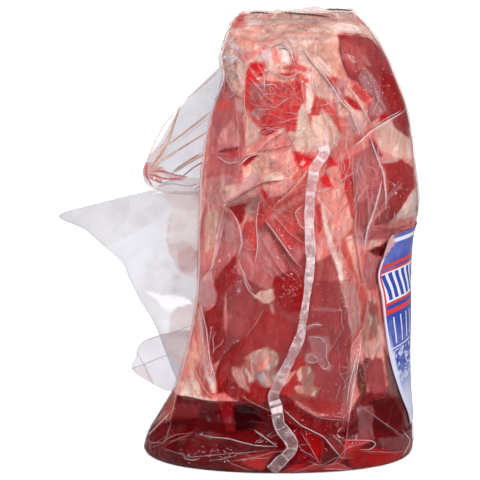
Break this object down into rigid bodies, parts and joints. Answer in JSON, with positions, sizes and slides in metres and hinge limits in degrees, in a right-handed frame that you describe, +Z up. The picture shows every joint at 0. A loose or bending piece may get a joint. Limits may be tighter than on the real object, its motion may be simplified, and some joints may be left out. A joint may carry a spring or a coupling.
{
  "type": "raw corned beef brisket in a sealed bag",
  "caption": "Raw corned beef brisket in a clear sealed bag with its red brine, standing on its foot, with a long fin seam, loose film at one side and a wrapped label.",
  "frame": {"origin": "on the ground under the middle of the pack's foot", "axes": "+Z up along the standing pack; -Y towards the seam side, with the loose film on -X; the label is on the +X and +Y sides"},
  "size_m": [0.2237, 0.1097, 0.2775],
  "materials": {
    "wet_meat": "wet raw beef and fat under tight clear film",
    "clear_film": "clear glossy bag film, slightly milky where it is folded or doubled",
    "printed_film": "glossy printed label in blue, white and red"
  },
  "bodies": {
    "root": {"brisket_pack": "wet_meat", "fin_seam": "clear_film", "label": "printed_film", "film_loop": "clear_film", "film_flap": "clear_film"}
  },
  "joints": []
}
